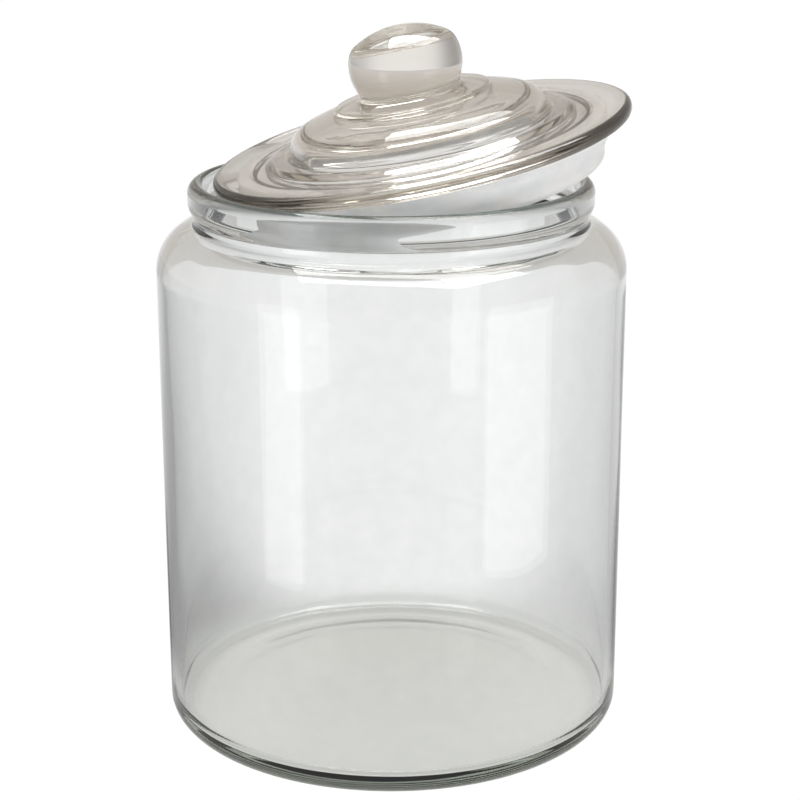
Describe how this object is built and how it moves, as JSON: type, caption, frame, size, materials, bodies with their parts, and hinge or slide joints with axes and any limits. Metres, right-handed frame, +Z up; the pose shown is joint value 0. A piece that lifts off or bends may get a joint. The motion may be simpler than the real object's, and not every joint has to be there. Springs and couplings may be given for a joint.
{
  "type": "lidded glass canister",
  "caption": "Wide-mouth round glass storage jar with a knobbed glass lid and a soft sealing ring, the lid leaning ajar on the rim.",
  "frame": {"origin": "middle of the jar's base, on the surface that it stands on", "axes": "+Z up along the jar's axis, +X to the right towards the lid's raised side, +Y to the back"},
  "size_m": [0.2005, 0.2, 0.3025],
  "materials": {
    "jar_glass": "clear blown soda-lime glass, faint grey-green in thick places",
    "seal_silicone": "satin milky-white silicone",
    "lid_glass": "clear pressed soda-lime glass, faint warm grey in thick places"
  },
  "bodies": {
    "jar": {"jar": "jar_glass"},
    "seal_ring": {"seal_ring": "seal_silicone"},
    "lid": {"lid": "lid_glass"}
  },
  "joints": [
    {"name": "lid_lift", "type": "slide", "parent": "jar", "child": "seal_ring", "axis": [0, 0, 1], "range_m": [0, 0.2]},
    {"name": "lid_from_ring", "type": "slide", "parent": "seal_ring", "child": "lid", "axis": [-0.1939, -0.0531, 0.9796], "range_m": [0, 0.03]}
  ]
}
